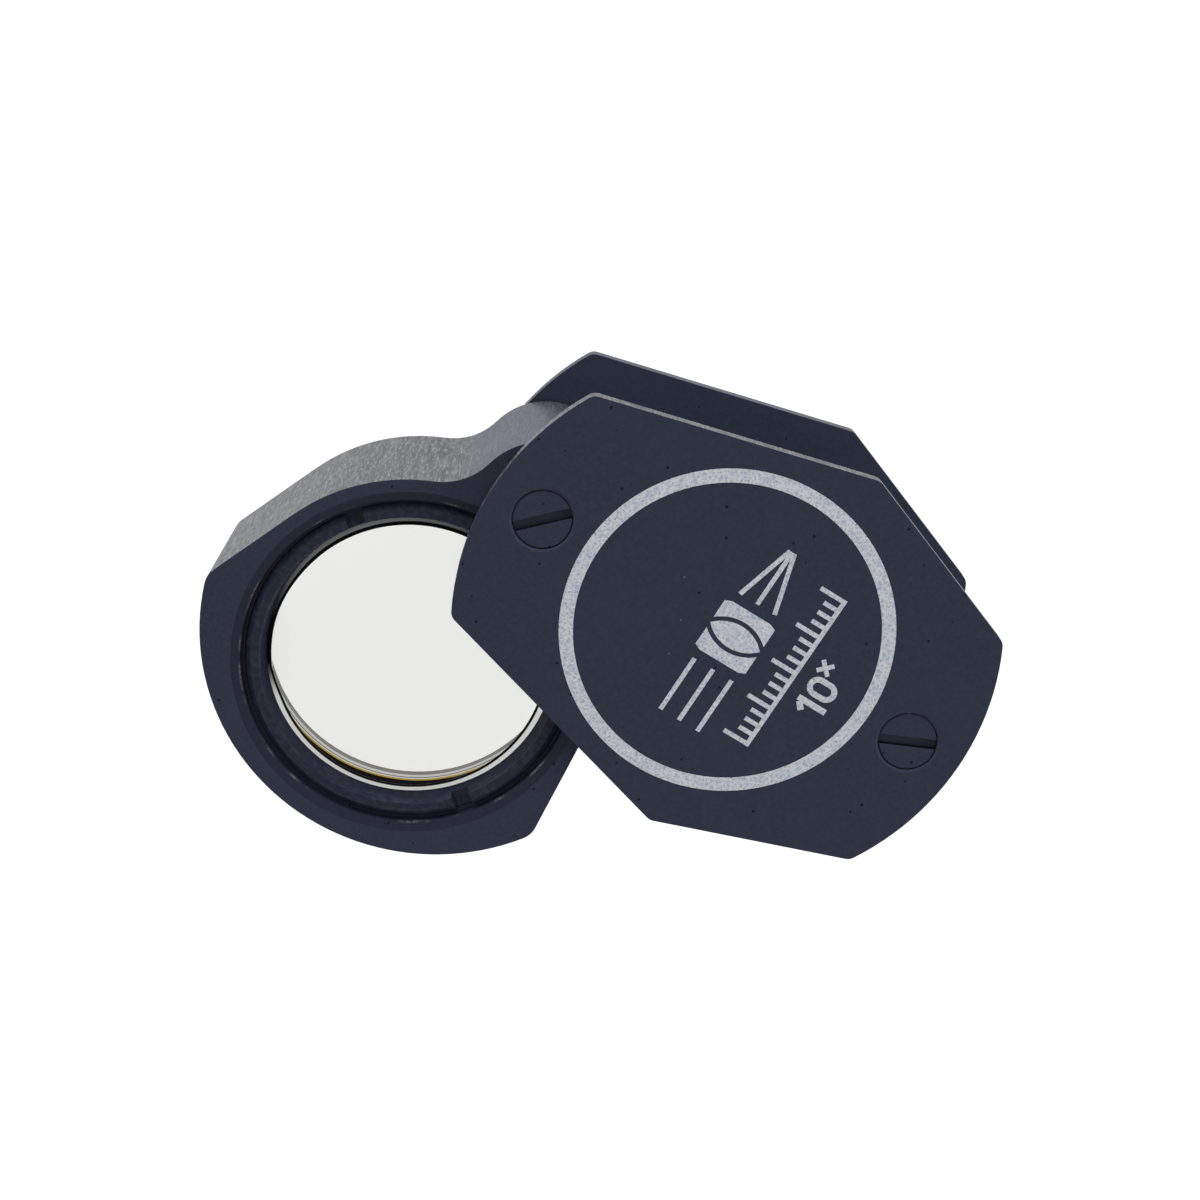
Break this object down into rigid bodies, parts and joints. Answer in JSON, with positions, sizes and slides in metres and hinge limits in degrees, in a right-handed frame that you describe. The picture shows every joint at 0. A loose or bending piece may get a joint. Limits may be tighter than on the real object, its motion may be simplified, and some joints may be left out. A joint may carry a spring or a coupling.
{
  "type": "folding triplet loupe",
  "caption": "Folding hand magnifier: a thick lens frame swings out on a pivot post from between two flat black cover plates.",
  "frame": {"origin": "centre of the case on the outer face of the rear plate", "axes": "+Z from the rear plate to the front plate, +X from the pivot post to the stop post"},
  "size_m": [0.0574, 0.0473, 0.018],
  "materials": {
    "black_enamel": "satin black enamel on steel, fine orange peel, worn thin along the edges",
    "frame_metal": "black enamelled faces, bare metal side wall with a fine grain",
    "black_anodised": "matt black, turned",
    "silver_print": "speckled silver screen print",
    "steel": "turned, satin",
    "spring_steel": "hardened, dark satin",
    "brass": "turned",
    "lens_glass": "polished optical glass, ground bevel"
  },
  "bodies": {
    "case": {"front_plate": "black_enamel", "rear_plate": "black_enamel", "printed_ring": "silver_print", "printed_mark": "silver_print", "pivot_post": "steel", "stop_post": "steel", "front_pivot_screw": "black_enamel", "front_stop_screw": "black_enamel", "rear_pivot_screw": "black_enamel", "rear_stop_screw": "black_enamel", "front_washer": "steel", "rear_washer": "steel", "spring_washer": "spring_steel"},
    "lens_unit": {"lens_frame": "frame_metal", "pivot_bush": "brass", "retaining_ring": "black_anodised", "front_lens": "lens_glass", "centre_lens": "lens_glass", "rear_lens": "lens_glass", "seat_ring": "brass"}
  },
  "joints": [
    {"name": "lens_swing", "type": "hinge", "parent": "case", "child": "lens_unit", "pos_m": [-0.0168, 0, 0.009], "axis": [0, 0, 1], "range_deg": [-81.4, 98.6]}
  ]
}
